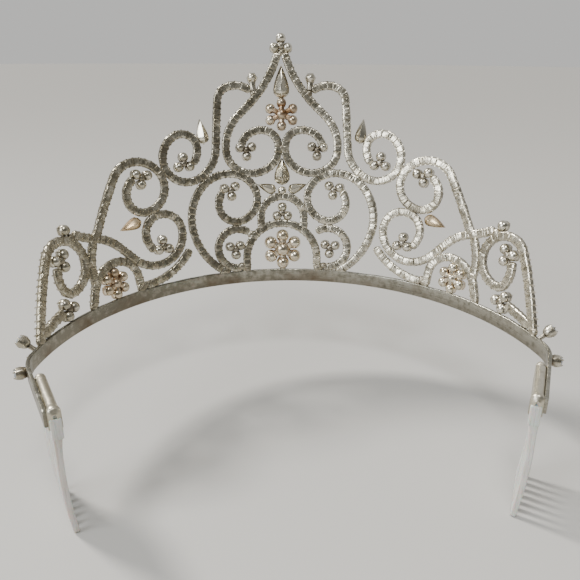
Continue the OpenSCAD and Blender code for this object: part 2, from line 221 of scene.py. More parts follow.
def rounded_bar(width, height, corner, n=5):
    """Outline of a bar about its middle: four quarter circles of radius corner, n points each."""
    q = np.linspace(0, math.pi / 2, n)
    a = np.concatenate([q, q + math.pi / 2, q + math.pi, q + 1.5 * math.pi])
    middle_x = np.repeat([1, -1, -1, 1], n) * (width / 2 - corner)
    middle_y = np.repeat([1, 1, -1, -1], n) * (height / 2 - corner)
    return np.stack([middle_x + corner * np.cos(a), middle_y + corner * np.sin(a)], -1)


def band_skin():
    """The band's rounded section carried along band_frame, with its top edge uneven by a few
    hundredths, as rolled strip is."""
    s = np.linspace(-band_reach, band_reach, 360)
    origin, _, up, out = band_frame(s)
    outline = rounded_bar(band_thick, band_height, band_corner)
    sway = 0.04 * np.sin(s * 0.31) + 0.03 * np.sin(s * 0.83 + 1)
    close = np.clip((band_reach - np.abs(s)) / 0.35, 0, 1) ** 0.5 * 0.15 + 0.85
    x = outline[:, 0] * close[:, None] + band_thick / 2
    y = outline[:, 1] * close[:, None] + band_height / 2
    y = y + np.where(outline[:, 1] > 0, 1, 0) * sway[:, None]
    rings = origin[:, None] + x[..., None] * out[:, None] + y[..., None] * up[:, None]
    # Darker towards the bottom: the band's lower half gets a share that grows towards its lower
    # edge.
    recess_and_shade = np.clip(0.5 - y / band_height, 0, 0.5) * 0.8
    return skin(np.concatenate([rings, recess_and_shade[..., None]], -1))


piece("band_strip", band_skin(), drawn_metal, "band_metal", "band")

# ---- Row of stones ----
# Along the outside of the band runs a row of small round cups, soldered side by side. Each
# is a stamped bowl with four claws bent over a round stone.

cup_count, cup_radius = 61, 1.2
cup_middle = cup_radius + 0.15
four_corners = (45.0, 135.0, 225.0, 315.0)


def turned(profile, sides):
    """Round skin about Z: the profile's rows are radius, height and recess, carried round by
    cosine and sine, and both ends close on the axis."""
    profile = np.asarray(profile, float)
    a = np.arange(sides) * 2 * math.pi / sides
    radius, height, recess_and_shade = profile.T[:, :, None] * np.ones(sides)
    rings = np.stack([radius * np.cos(a), radius * np.sin(a), height, recess_and_shade], -1)
    return skin(rings, [0, 0, profile[0, 1], profile[0, 2]], [0, 0, profile[-1, 1], profile[-1, 2]])


def claw(reach, low, high, inward, thick):
    """A claw above the X axis: a round peg at x = reach that narrows upwards and, by the cube
    of its height, bends inward over the stone."""
    t = np.array([0, 0.4, 0.75, 1.0])[:, None]
    a = np.arange(6) * math.pi / 3
    r = thick * (1 - 0.45 * t ** 2)
    x, y = reach - inward * t ** 3 + r * np.cos(a), r * np.sin(a)
    z = low + (high - low) * t + 0 * x
    rings = np.stack([x, y, z, 0.05 + 0.3 * (1 - t) + 0 * x], -1)
    return skin(rings, end=[reach - inward, 0, high + thick * 0.35, 0.0])


def round_copies(one, *degrees):
    """The skin turned round the Z axis to each of the angles."""
    a = np.radians(degrees)
    flat = np.zeros_like(a)
    return copies(one, np.stack([flat, flat, flat], -1),
                  np.stack([np.cos(a), np.sin(a), flat], -1),
                  np.stack([-np.sin(a), np.cos(a), flat], -1),
                  np.stack([flat, flat, flat + 1], -1))


def stone_skin(radius, low, high, sides=8):
    """A cut stone: a girdle of the given radius, a sloping crown turned by half a facet, and a
    flat table, with its pavilion cut short inside the setting."""
    a = np.arange(sides) * 2 * math.pi / sides
    rows = [(0.7, low - 0.3 * radius, 0), (1, low, 0), (1, low + 0.06 * radius, 0),
            (0.82, low + 0.6 * (high - low), 0.5), (0.56, high, 0)]
    rings = np.stack([np.stack([
        radius * f * np.cos(a + k * 2 * math.pi / sides),
        radius * f * np.sin(a + k * 2 * math.pi / sides), h + 0 * a, 0 * a], -1)
        for f, h, k in rows])
    return skin(rings)


def clear_stone(name, light, deep):
    """Foiled crystal under a hard polished surface: every facet has its own light or deep tone,
    a painted reflection of the foil behind it catching the light."""
    material = bpy.data.materials.new(name)
    material.use_nodes = True
    tree = material.node_tree
    shader = tree.nodes["Principled BSDF"]
    facet = wired(tree, "ShaderNodeAttribute", {}, attribute_name="facet").outputs["Fac"]
    place = wired(tree, "ShaderNodeTexCoord", {}).outputs["Object"]
    haze = wired(tree, "ShaderNodeTexNoise", {
        "Vector": place, "Scale": 900.0, "Detail": 2.0}).outputs[0]
    # Painted reflection: each facet's own light or deep tone.
    tone = mixed(tree, facet, deep, light)
    tree.links.new(mixed(tree, ramp(tree, haze, 0.5, 0.75, 0.0, 0.35), tone, light),
                   shader.inputs["Base Color"])
    tree.links.new(ramp(tree, haze, 0.4, 0.8, 0.03, 0.2), shader.inputs["Roughness"])
    shader.inputs["Metallic"].default_value = 0.55
    shader.inputs["IOR"].default_value = 1.6
    shader.inputs["Coat Weight"].default_value = 1.0
    shader.inputs["Coat Roughness"].default_value = 0.03
    return material


def stones(name, shape, *nodes):
    """Stones as a piece of flat facets, each given a painted reflection tone from 0 to 1 by the
    fractional part of a large multiple of the sine of its number."""
    made = piece(name, shape, crystal, "stone", *nodes, crease=1)
    count = len(made.data.polygons)
    facet_glints = np.modf(np.abs(np.sin(np.arange(count) * 12.9898) * 4375.85))[0]
    made.data.attributes.new("facet", "FLOAT", "FACE").data.foreach_set(
        "value", facet_glints.astype(np.float32))
    made.data.polygons.foreach_set("use_smooth", np.zeros(count, bool))
    return made


crystal = clear_stone("crystal", (0.93, 0.95, 0.97, 1), (0.22, 0.25, 0.29, 1))
cup_metal = aged_metal("cup_metal", (0.84, 0.80, 0.69, 1), (0.42, 0.385, 0.30, 1),
                       (0.10, 0.072, 0.04, 1), 0.5, 0.22, 2200.0, 0.00003)

small_cup = joined(
    turned([(0.75, -0.15, 0.9), (0.9, 0.1, 0.9), (1.08, 0.45, 0.6), (1.16, 0.9, 0.3),
            (1.2, 1.3, 0.1), (1.17, 1.5, 0.0), (1.07, 1.56, 0.0), (0.98, 1.45, 0.5),
            (0.8, 1.1, 0.9)], 16),
    round_copies(claw(1.06, 0.5, 2.0, 0.3, 0.25), *four_corners))
cup_s = (np.arange(cup_count) - (cup_count - 1) / 2) * 2 * (bow - 2) / (cup_count - 1)


def on_band(s, z):
    """Places on the band's outer face, with Z outwards."""
    origin, along, up, out = band_frame(np.asarray(s, float), z)
    return origin + band_thick * out, along, up, out


piece("stone_row_cups", copies(small_cup, *on_band(cup_s, cup_middle)), cup_metal,
      "setting_metal", "band_cups")
stones("stone_row_stones", copies(stone_skin(0.97, 1.42, 1.95), *on_band(cup_s, cup_middle)),
       "band_stones")

# ---- End cups ----
# The row closes at each end with a larger cup on the band's bend. Just before the bend a
# round stone setting stands on a short stem, soldered to the band's top edge at a slant.

bend_share, end_cup_middle = 0.7, cup_middle + 0.3
stem_inset, stem_sunk, stem_rise = 2.5, 0.6, math.radians(35)

large_cup = joined(
    turned([(1.0, -0.2, 0.9), (1.2, 0.1, 0.9), (1.38, 0.6, 0.6), (1.45, 1.3, 0.3),
            (1.46, 1.9, 0.1), (1.42, 2.15, 0.0), (1.3, 2.2, 0.0), (1.2, 2.05, 0.5),
            (1.0, 1.6, 0.9)], 20),
    round_copies(claw(1.32, 0.8, 2.75, 0.36, 0.3), *four_corners))
bend_s = np.array([-1.0, 1.0]) * (bow + bend_radius * bend_turn * bend_share)
end_setting = joined(
    turned([(0.62, -0.2, 0.6), (0.55, 0.8, 0.4), (0.6, 1.7, 0.6)], 12),
    turned([(0.4, 1.72, 0.7), (0.85, 1.95, 0.4), (1.2, 2.3, 0.1), (1.42, 2.8, 0.0),
            (1.5, 3.3, 0.05), (1.48, 3.9, 0.15), (1.5, 4.25, 0.0), (1.38, 4.35, 0.0),
            (1.25, 4.2, 0.5), (1.0, 3.8, 0.9)], 20),
    round_copies(claw(1.36, 3.2, 4.85, 0.36, 0.27), *four_corners))
stem_s = np.array([-1.0, 1.0]) * (bow - stem_inset)
stem_at, _, stem_up, stem_out = on_band(stem_s, band_height - stem_sunk)
stem_z = math.cos(stem_rise) * stem_out + math.sin(stem_rise) * stem_up
stem_y = math.cos(stem_rise) * stem_up - math.sin(stem_rise) * stem_out
stems = stem_at, np.cross(stem_y, stem_z), stem_y, stem_z
bends = on_band(bend_s, end_cup_middle)
piece("end_cup_settings", joined(copies(large_cup, *bends), copies(end_setting, *stems)),
      cup_metal, "setting_metal", "end_cups")
stones("end_cup_stones", joined(copies(stone_skin(1.18, 2.05, 2.7), *bends),
                                copies(stone_skin(1.22, 4.2, 4.8), *stems)))

# ---- Comb channels ----
# Inside each straight tail lies a strip of the same metal folded over into a channel that
# grips the comb. Its closed end is pressed down, and its other end is rolled into a lip.

channel_start, channel_length, channel_width, channel_height = 4.0, 17.5, 2.4, 4.8
channel_top = band_height + 0.4
fold = 0.5


def tail_frame(side):
    """Origin and axes at the start of a tail: outwards, along the tail to its end, upwards."""
    origin, along, up, out = band_frame(np.array([side * (bow + bend_radius * bend_turn)]))
    return origin, out, side * along, up


def slab(outer, inner):
    """Sheet with a thickness: two grids of points of the same size, as its two faces, closed
    by a strip of faces along each of their four borders."""
    m, n = outer.shape[:2]
    number = np.arange(m * n).reshape(m, n)
    face = np.stack([number[:-1, :-1], number[1:, :-1], number[1:, 1:], number[:-1, 1:]],
                    -1).reshape(-1, 4)
    rim = np.concatenate([number[:-1, 0], number[-1, :-1], number[:0:-1, -1], number[0, :0:-1]])
    ahead = np.roll(rim, -1)
    sides = np.stack([rim, rim + m * n, ahead + m * n, ahead], -1)
    points = np.concatenate([outer.reshape(-1, 4), inner.reshape(-1, 4)])
    return outward(points, np.concatenate([face, face[:, ::-1] + m * n, sides[:, ::-1]]),
                   np.zeros((0, 3), int))


def channel_skin():
    """The fold: up one wall, a half circle over the top and down the other wall, carried along
    the channel. It shrinks to a rounded start, is pinched just behind it, and swells to a
    lip by the last two millimetres."""
    y = np.concatenate([np.linspace(0, 3, 22), np.linspace(3.2, 14, 24),
                        np.linspace(14.2, channel_length, 24)])
    start = np.sqrt(np.clip(1 - (1 - np.clip(y / 1.3, 0, 1)) ** 2, 0.12, 1))
    pinch = 1 - 0.14 * np.exp(-((y - 2.2) / 0.28) ** 2)
    lip = 1 + 0.2 * np.exp(-((y - channel_length + 1.3) / 0.9) ** 2)
    close = np.sqrt(np.clip(1 - np.clip((y - channel_length + 0.9) / 0.95, 0, 1) ** 2, 0.2, 1))
    grow = (start * pinch * lip * close)[:, None]
    a = np.concatenate([np.zeros(7), np.linspace(0, math.pi, 15), np.full(7, math.pi)])
    down = np.concatenate([np.linspace(1, 0, 8)[:-1], np.zeros(15), np.linspace(0, 1, 8)[1:]])

    def face(radius):
        """One face of the sheet: two walls and a half circle of that radius between them."""
        x = radius * grow * np.cos(a)
        top = channel_top - channel_width / 2 - (1 - np.minimum(grow, 1)) * 0.7
        z = top + radius * grow * np.sin(a) - down * (channel_height - channel_width / 2)
        # Painted shade darkens the walls down towards their lower edges, below the lit top of the
        # fold; the pinch is darker with patina in its crease.
        recess_and_shade = np.clip(0.2 + down * 0.4 + 3 * (1 - pinch[:, None]), 0, 1)
        return np.stack([x - channel_width / 2, y[:, None] + channel_start + 0 * x, z,
                         recess_and_shade + 0 * x], -1)

    return slab(face(channel_width / 2), face(channel_width / 2 - fold))


folded_metal = aged_metal("folded_metal", (0.88, 0.84, 0.72, 1), (0.60, 0.56, 0.45, 1),
                          (0.22, 0.18, 0.12, 1), 0.35, 0.30, 1500.0, 0.00003)
for side, hand in ((1, "left"), (-1, "right")):
    piece(f"channel_{hand}_fold", copies(channel_skin(), *tail_frame(side)), folded_metal,
          "channel_metal", f"channel_{hand}")

# ---- Combs ----
# Each comb is one moulding of milky clear plastic: a back that sits in the channel, and
# seven flat teeth, square cut at their ends, which curve with the side of the head.

tooth_count, tooth_length, tooth_width = 7, 26.0, 1.5
tooth_curve, tooth_tilt = 120.0, math.radians(4.5)


def tooth_skin(y):
    """A tooth: a rounded flat section carried down an arc of radius tooth_curve that starts
    tooth_tilt outwards, widened to a shoulder at its root by the normal curve, a little
    narrower towards its end, and ridged along the middle of its edges."""
    t = np.concatenate([np.linspace(0, 0.985, 36), [0.995, 1.0]])[:, None]
    a = t * tooth_length / tooth_curve - tooth_tilt
    x = tooth_curve * (np.cos(a) - math.cos(tooth_tilt))
    z = -tooth_curve * (np.sin(a) + math.sin(tooth_tilt))
    outline = rounded_bar(tooth_width, tooth_width, 0.2)
    k = 1 - 0.18 * t ** 2 + 0.22 * np.exp(-(t * tooth_length / 3.2) ** 4)
    k = k * np.where(t > 0.999, 0.8, np.where(t > 0.99, 0.95, 1.0))
    p, q = outline[:, 0] * k, outline[:, 1] * k
    ridge = 0.16 * np.exp(-(p / 0.2) ** 2)
    # Painted shade: this marks the tooth's flat sides, which the plastic paints darker.
    flank_shade = np.clip(np.abs(outline[:, 0]) / (tooth_width / 2), 0, 1) ** 6 + 0 * p
    rings = np.stack([x + p * np.cos(a), y + q + np.sign(q) * ridge, z - p * np.sin(a), flank_shade], -1)
    return skin(rings)


def comb_skin():
    """The comb's back as a rounded bar along the channel, with the teeth hanging from it, and
    a thicker block that fills the channel's open end."""
    y = np.concatenate([[0, 0.1], np.linspace(0.3, channel_length - 1.1, 30),
                        [channel_length - 0.9, channel_length - 0.8]])[:, None]
    outline = rounded_bar(1.2, 5.8, 0.3)
    k = np.where((y < 0.05) | (y > channel_length - 0.85), 0.8, 1.0)
    rings = np.stack([outline[:, 0] * k, y + 0 * outline[:, 0], outline[:, 1] * k + 1.7,
                      0 * outline[:, 0] * k], -1)
    pitch = (channel_length - 0.8 - tooth_width) / (tooth_count - 1)
    teeth = [tooth_skin(tooth_width / 2 + i * pitch) for i in range(tooth_count)]
    f = np.array([0, 0.04, 0.1, 0.9, 0.97, 1])[:, None]
    plug = rounded_bar(2.3, 4.9, 0.35)
    k = np.array([0.8, 0.93, 1, 1, 0.95, 0.85])[:, None]
    block = np.stack([plug[:, 0] * k, channel_length - 2 + 1.75 * f + 0 * plug[:, 0],
                      plug[:, 1] * k + 1.15, 0 * k * plug[:, 0]], -1)
    points, quads, fans = joined(skin(rings), skin(block), *teeth)
    lift = np.array([-channel_width / 2, channel_start + 0.4, channel_top - channel_height - 1, 0])
    return points + lift, quads, fans


def milky_plastic(name):
    """Clear plastic gone milky: light passes dimly through it, and it is finely scratched
    along the teeth and yellowed in faint clouds; painted shade darkens the teeth's flat sides."""
    material = bpy.data.materials.new(name)
    material.use_nodes = True
    tree = material.node_tree
    shader = tree.nodes["Principled BSDF"]
    place = wired(tree, "ShaderNodeTexCoord", {}).outputs["Object"]
    long = wired(tree, "ShaderNodeMapping", {"Vector": place, "Scale": (1, 1, 0.06)}).outputs[0]
    scratch = wired(tree, "ShaderNodeTexNoise", {
        "Vector": long, "Scale": 2600.0, "Detail": 3.0}).outputs[0]
    cloud = wired(tree, "ShaderNodeTexNoise", {
        "Vector": place, "Scale": 160.0, "Detail": 2.0}).outputs[0]
    flank_shade = wired(tree, "ShaderNodeAttribute", {}, attribute_name="recess_and_shade").outputs["Fac"]
    milky, yellowed = (0.78, 0.78, 0.75, 1), (0.70, 0.69, 0.62, 1)
    flank_shade_tone, scratched = (0.54, 0.555, 0.52, 1), (0.92, 0.93, 0.93, 1)
    tone = mixed(tree, ramp(tree, cloud, 0.35, 0.7), milky, yellowed)
    # Painted shade: the teeth's flat sides go towards the darker grey.
    tone = mixed(tree, ramp(tree, flank_shade, 0.3, 1.0, 0.0, 0.85), tone, flank_shade_tone)
    tone = mixed(tree, ramp(tree, scratch, 0.45, 0.7, 0.0, 0.5), tone, scratched)
    tree.links.new(tone, shader.inputs["Base Color"])
    tree.links.new(ramp(tree, scratch, 0.3, 0.7, 0.2, 0.42), shader.inputs["Roughness"])
    shader.inputs["Transmission Weight"].default_value = 0.16
    shader.inputs["Subsurface Weight"].default_value = 0.35
    shader.inputs["Subsurface Scale"].default_value = 0.0012
    shader.inputs["IOR"].default_value = 1.49
    tree.links.new(wired(tree, "ShaderNodeBump", {
        "Height": scratch, "Distance": 0.00003}).outputs[0], shader.inputs["Normal"])
    return material


comb_plastic = milky_plastic("comb_plastic")
for side, hand in ((1, "left"), (-1, "right")):
    piece(f"comb_{hand}_moulding", copies(comb_skin(), *tail_frame(side)), comb_plastic,
          "comb_plastic", f"comb_{hand}")

# ---- Arms ----
# The crest is bent up from strips of cast claw setting, flat behind and set with a row of
# small stones in front. The strips are curled into scrolls and soldered where they touch.

lean = math.radians(13)
cell, cell_steps, strip_width = 1.75, 12, 2.5


def wall_frame(s, z, o=0.0):
    """Origins and axes on the leaning wall that the crest lies on, at s along the band and z
    up: the wall is a cone whose radius grows by the tangent of its lean. The axes run along
    the band, up the wall and outwards, and o moves the origins outwards."""
    s, z = np.asarray(s, float), np.asarray(z, float)
    a, flat = s / band_radius, np.zeros_like(s)
    r = band_radius + z * math.tan(lean) + o * math.cos(lean)
    origin = np.stack([r * np.sin(a), -r * np.cos(a), z - o * math.sin(lean)], -1)
    along = np.stack([np.cos(a), np.sin(a), flat], -1)
    up = np.stack([math.sin(lean) * np.sin(a), -math.sin(lean) * np.cos(a),
                   flat + math.cos(lean)], -1)
    out = np.stack([math.cos(lean) * np.sin(a), -math.cos(lean) * np.cos(a),
                    flat - math.sin(lean)], -1)
    return origin, along, up, out


def chain(start, heading, runs):
    """Places [s, z] along a chain of runs from start: a run [radius, degrees] is an arc that
    bears left for a positive turn, and a radius of 0 is a straight of that length."""
    p, h, parts = np.array(start, float), math.radians(heading), []
    for radius, turn in runs:
        if radius == 0:
            f = np.linspace(0, turn, max(3, int(turn / 0.15)))[:, None]
            line = p + f * np.array([math.cos(h), math.sin(h)])
        else:
            g = h + np.linspace(0, 1, max(4, int(radius * abs(turn) * 0.12))) * math.radians(turn)
            k = math.copysign(radius, turn)
            middle = p + k * np.array([-math.sin(h), math.cos(h)])
            line = middle - k * np.stack([-np.sin(g), np.cos(g)], -1)
            h = g[-1]
        parts.append(line[:-1])
        p = line[-1]
    return np.concatenate(parts + [[p]])


def arm_line(route, mirror):
    """Stations along an arm, a whole number of cells apart: the chain is laid on the wall,
    measured in space, and divided evenly. The axes run ahead, to the left and outwards."""
    flat = chain(*route) * np.array([mirror, 1])
    run = np.concatenate([[0], np.cumsum(np.linalg.norm(np.diff(
        wall_frame(flat[:, 0], flat[:, 1])[0], axis=0), axis=1))])
    cells = max(2, round(run[-1] / cell))
    u = np.linspace(0, run[-1], cells * cell_steps + 1)
    origin, _, _, out = wall_frame(np.interp(u, run, flat[:, 0]), np.interp(u, run, flat[:, 1]))
    ahead = np.gradient(origin, axis=0)
    ahead /= np.linalg.norm(ahead, axis=1, keepdims=True)
    return u, cells, origin, ahead, np.cross(out, ahead), out


def arm_skin(line, seed):
    """The strip: a boxy section, the cosine and sine drawn out by small powers, carried along
    the arm and rounded off at both ends. Each cell's back lies at its own slight slope, with a
    fine groove of its own depth between cells, and the front is notched deeply there. A cell's
    recess is its own too, so that one is brighter than the next."""
    u, cells, origin, _, left, out = line
    chance = np.random.default_rng(seed)
    count = np.arange(len(u)) / cell_steps
    cell_number = np.minimum(count.astype(int), cells - 1)
    border = np.round(count).astype(int)
    groove = np.exp(-((count - border) / 0.06) ** 2)
    notch = np.exp(-((count - border) / 0.13) ** 2)[:, None]
    cut = (groove * chance.uniform(0.15, 1.0, cells + 1)[border])[:, None]
    slope, sway, wide, tone = chance.normal(0, 1, (4, cells))[:, cell_number, None]
    within = (count - cell_number - 0.5)[:, None]
    a = (np.arange(24) + 0.5) * math.pi / 12
    x = np.sign(np.cos(a)) * np.abs(np.cos(a)) ** 0.45
    y = np.sign(np.sin(a)) * np.abs(np.sin(a)) ** 0.5
    front = np.clip(y * 0.9 + 0.35, 0, 1)
    flat_back = np.clip(-y * 1.6 - 0.4, 0, 1)
    lump = chance.normal(0, 0.016, (len(u), 24))
    lump = (lump + np.roll(lump, 1, 0) + np.roll(lump, 1, 1) + np.roll(lump, 2, 0)) * 0.8
    close = np.sqrt(np.clip(1 - (1 - np.clip(np.minimum(u, u[-1] - u) / 0.8, 0, 1)) ** 2,
                            0.08, 1))[:, None]
    tilt = (0.13 * slope * within + 0.06 * sway * x) * flat_back * (1 - cut)
    width = close * (1.2 + 0.04 * wide - 0.1 * cut - 0.3 * notch * front)
    depth = np.where(y < 0, close * (0.82 - 0.08 * cut), 0.62 - 0.2 * notch)
    across, through = x * width + lump, y * depth + lump + tilt
    rings = origin[:, None] + across[..., None] * left[:, None] + through[..., None] * out[:, None]
    edge = np.clip((np.abs(x) - 0.72) / 0.28, 0, 1) * (1 - flat_back)
    recess_and_shade = 0.6 * cut + 0.55 * front + 0.3 * edge + 0.11 * tone.clip(-1, 2) * flat_back
    recess_and_shade = np.clip(recess_and_shade + chance.normal(0, 0.05, recess_and_shade.shape), 0, 1)
    return skin(np.concatenate([rings, recess_and_shade[..., None]], -1))


def arm_claws(line, seed):
    """Two claws between neighbouring cells, one on each edge of the strip, where their roots
    show from behind as beads of uneven size."""
    _, cells, origin, ahead, left, out = line
    at = np.arange(1, cells) * cell_steps
    size = np.random.default_rng(seed).uniform(0.8, 1.25, (2, len(at), 1))
    peg = claw(1.05, -0.6, 1.28, 0.42, 0.31)
    return joined(copies(peg, origin[at], left[at], ahead[at] * size[0], out[at]),
                  copies(peg, origin[at], -left[at], ahead[at] * size[1], out[at]))


def arm_stones(line):
    """A stone in the middle of each cell."""
    _, cells, origin, ahead, left, out = line
    at = np.arange(cells) * cell_steps + cell_steps // 2
    return copies(stone_skin(0.74, 0.62, 1.05), origin[at], ahead[at], left[at], out[at])


cast_metal = aged_metal("cast_metal", (0.86, 0.81, 0.68, 1), (0.37, 0.335, 0.25, 1),
                        (0.06, 0.045, 0.024, 1), 0.55, 0.22, 2600.0, 0.00003)
# Each route is the start [s, z], the heading in degrees from the way s grows, and the runs.
arm_routes = {
    "heart_arm": [[0.85, 69], -77.5, [[34, 30.5], [0, 3.3], [14.3, -47], [6.9, -89], [7.5, -103],
                                      [4.6, -79], [5.6, -82]]],
    "hook_arm": [[7.8, 57.8], 47, [[5.5, -56], [4.6, -75], [0, 14.4], [10.5, 55], [6.3, 106],
                                   [7.9, 71], [3.9, 115], [7.3, 46]]],
    "upper_scroll": [[57.8, 20.8], 150, [[8, -28], [0, 14.9], [7.4, 46], [7.4, 97], [7, 86],
                                         [4.6, 93], [5.8, 67]]],
    "middle_scroll": [[62.8, 24.4], 215, [[19.4, -16], [0, 2.5], [13.5, 30], [0, 5.7],
                                          [9.4, -60], [8.5, -87], [5.4, -90], [5.6, -91],
                                          [6.6, -35]]],
    "branch": [[28.7, 12.5], -54, [[18.6, 56]]],
    "end_scroll": [[84.5, 4], 124, [[0, 20.2], [6.8, 40], [6.3, 96], [7.1, 96], [2.6, 72],
                                    [7.4, 47]]],
    "ring_scroll": [[18, 4], 30, [[18.3, 53], [16, 48], [10.9, 46], [7.9, 74], [7.2, 81],
                                  [5.1, 104], [6, 57]]],
    "curl": [[13, 4.9], 0, [[0, 1], [6, 90], [6, 90], [6.5, 36]]],
    "side_arch": [[46, 4], 88, [[0, 3.9], [6, -91], [10.1, -62], [0, 4.3]]],
    "link_arm": [[57.2, 20.8], -56, [[17.2, -40]]],
    "leaf_stalk": [[82.6, 5], 169, [[0, 9.8]]]}
arch_routes = {
    "crown_arch": [[11.4, 4], 92, [[0, 3.6], [11, 176], [0, 3.6]]],
    "top_arch": [[6.4, 16.5], 90, [[0, 3.6], [6.4, 180], [0, 3.6]]]}
arm_lines = {f"{name}_{hand}": arm_line(route, mirror) for name, route in arm_routes.items()
             for mirror, hand in ((1, "left"), (-1, "right"))}
arm_lines.update({name: arm_line(route, 1) for name, route in arch_routes.items()})
for number, (name, line) in enumerate(arm_lines.items()):
    piece(f"{name}_strip", joined(arm_skin(line, number), arm_claws(line, number)),
          cast_metal, "crest_metal", name, crease=36)
    stones(f"{name}_stones", arm_stones(line))

# ---- Solder ----
# Where two arms touch, and where their feet stand on the band, a smooth drop of hard solder
# has run into the gap and been left as it set.

foot_limit, flower_foot, solder_radius = 5.5, 4.3, 1.22


def meeting_points():
    """For each pair of arms, the places where their middle lines come closer than a strip's
    width: of each unbroken stretch of close stations, the closest, and the mean of the two.
    The feet of the arms and of the large flower on the band are added."""
    found = []
    lines = [line[2][::4] for line in arm_lines.values()]
    for i, one in enumerate(lines):
        for other in lines[i + 1:]:
            gaps = np.linalg.norm(one[:, None] - other[None], axis=2)
            nearest = gaps.argmin(1)
            close = gaps.min(1)
            near = np.flatnonzero(close < strip_width)
            for stretch in np.split(near, np.flatnonzero(np.diff(near) > 3) + 1):
                if len(stretch):
                    k = stretch[close[stretch].argmin()]
                    found.append((one[k] + other[nearest[k]]) / 2)
    for line in lines:
        found += [end + [0, 0, 0.3] for end in (line[0], line[-1]) if end[2] < foot_limit]
    found.append(wall_frame([0], [flower_foot])[0][0])
    return np.array(found)


def solder_skin(places, radius, seed):
    """A drop at each place: a ball flattened towards the wall, each of another size."""
    chance = np.random.default_rng(seed)
    t = np.linspace(0, math.pi, 8)[1:-1]
    drop = turned(np.stack([np.sin(t), -np.cos(t), 0.25 + 0 * t], -1), 12)
    a = np.arctan2(places[:, 0], -places[:, 1])
    _, along, up, out = wall_frame(a * band_radius, places[:, 2])
    size = radius * (1 + 0.18 * chance.normal(0, 1, (len(places), 3)).clip(-1, 1))
    return copies(drop, places, along * size[:, :1], up * size[:, 1:2], out * size[:, 2:] * 0.72)


solder_metal = aged_metal("solder_metal", (0.78, 0.73, 0.61, 1), (0.38, 0.345, 0.26, 1),
                          (0.10, 0.072, 0.035, 1), 0.6, 0.28, 1800.0, 0.00005)
piece("solder_drops", solder_skin(meeting_points(), solder_radius, 5), solder_metal, "crest_metal")

# ---- Round settings ----
# Clusters of three round settings end the scrolls, and single ones stand on their shoulders:
# turned cups with domed backs, soldered side by side, each with four claws over a stone.

setting_radius, cluster_radius, gem_radius = 1.5, 1.8, 1.22


def round_places(s, z, r, n, first):
    """Places [s, z] of n settings evenly round a circle of radius r."""
    a = np.radians(first) + np.arange(n) * 2 * math.pi / n
    return np.stack([s + r * np.cos(a), z + r * np.sin(a)], -1)


def setting_skin(r):
    """A setting: a dome behind, a slightly waisted collar in front, a rim, and four claws."""
    q = np.linspace(0.12, math.pi / 2, 9)
    dome = np.stack([r * np.sin(q), -r * np.cos(q), 0.12 * (q / 1.57) ** 3], -1)
    collar = [(r * 0.98, 0.35, 0.4), (r * 0.95, 0.6, 0.6), (r, 0.95, 0.1), (r * 0.97, 1.12, 0.0),
              (r * 0.88, 1.16, 0.0), (r * 0.8, 1.05, 0.5), (r * 0.66, 0.8, 0.9)]
    return joined(turned(np.concatenate([dome, collar]), 22),
                  round_copies(claw(r * 0.9, 0.5, 1.75, 0.3, 0.28), *four_corners))


def settings_skin(places, middles, r=setting_radius):
    """Settings at places, with painted shade on the side that faces the middle of their cluster,
    where one shades the next, by the share of the radius that a point lies towards it."""
    places, middles = np.asarray(places, float), np.asarray(middles, float)
    origin, along, up, out = wall_frame(places[:, 0], places[:, 1])
    towards = wall_frame(middles[:, 0], middles[:, 1])[0] - origin
    towards /= np.linalg.norm(towards, axis=1, keepdims=True) + 1e-9
    points, quads, fans = copies(setting_skin(r), origin, along, up, out)
    reach = np.einsum("ikj,ij->ik", points[:, :3].reshape(len(places), -1, 3)
                      - origin[:, None], towards).reshape(-1) / r
    # Painted shade: the side that faces the cluster's middle gets more of the dark colour.
    points[:, 3] = np.clip(points[:, 3] + 0.9 * np.clip((reach - 0.45) / 0.5, 0, 1), 0, 1)
    return points, quads, fans


def mirrored(places):
    """The places and their mirror images on the other half of the crest."""
    places = np.asarray(places, float)
    return np.concatenate([places, places * [-1, 1]])


def gems_skin(places, r):
    """A stone of radius r in front of each setting."""
    places = np.asarray(places, float)
    return copies(stone_skin(r, 1.08, 1.62), *wall_frame(places[:, 0], places[:, 1]))


def bridge_skin(middles, r):
    """The solder that holds a cluster together: a flattened ball behind its middle."""
    middles = np.asarray(middles, float)
    origin, along, up, out = wall_frame(middles[:, 0], middles[:, 1], -0.15)
    t = np.linspace(0, math.pi, 8)[1:-1]
    ball = turned(np.stack([r * np.sin(t), -r * np.cos(t), 0.45 + 0 * t], -1), 12)
    return copies(ball, origin, along, up, out * 0.8)


setting_metal = aged_metal("setting_metal", (0.86, 0.82, 0.72, 1), (0.47, 0.435, 0.34, 1),
                           (0.09, 0.065, 0.035, 1), 0.5, 0.21, 1700.0, 0.000025)
trios = {"heart": (9.7, 40.6, -92), "hook": (27.1, 37.7, 90), "upper": (39.4, 34.9, -78),
         "middle": (36.6, 14.8, 92), "end": (68.5, 19, -107), "ring": (14.8, 28.8, -98),
         "curl": (14.6, 10.8, -92), "leaf": (70.9, 6.9, 62)}
gem_places = []


def cluster(name, node, places, middles, bridges, bridge_radius=1.1):
    """Makes the settings at places, each shaded towards its cluster's middle, and the solder."""
    piece(f"{name}_settings",
          joined(settings_skin(places, middles), bridge_skin(bridges, bridge_radius)),
          setting_metal, "setting_metal", node)
    gem_places.append(places)


for name, (s, z, first) in trios.items():
    cluster(name, f"{name}_clusters", mirrored(round_places(s, z, cluster_radius, 3, first)),
            mirrored([[s, z]] * 3), mirrored([[s, z]]))
cluster("top", "top_cluster", round_places(0, 21.4, cluster_radius, 3, 90), [[0, 21.4]] * 3,
        [[0, 21.4]])
cluster("apex", "apex_cluster", np.array([[0, 73.1], [1.6, 70.4], [-1.6, 70.4]]),
        [[0, 71.3]] * 3, [[0, 71]], 1.2)

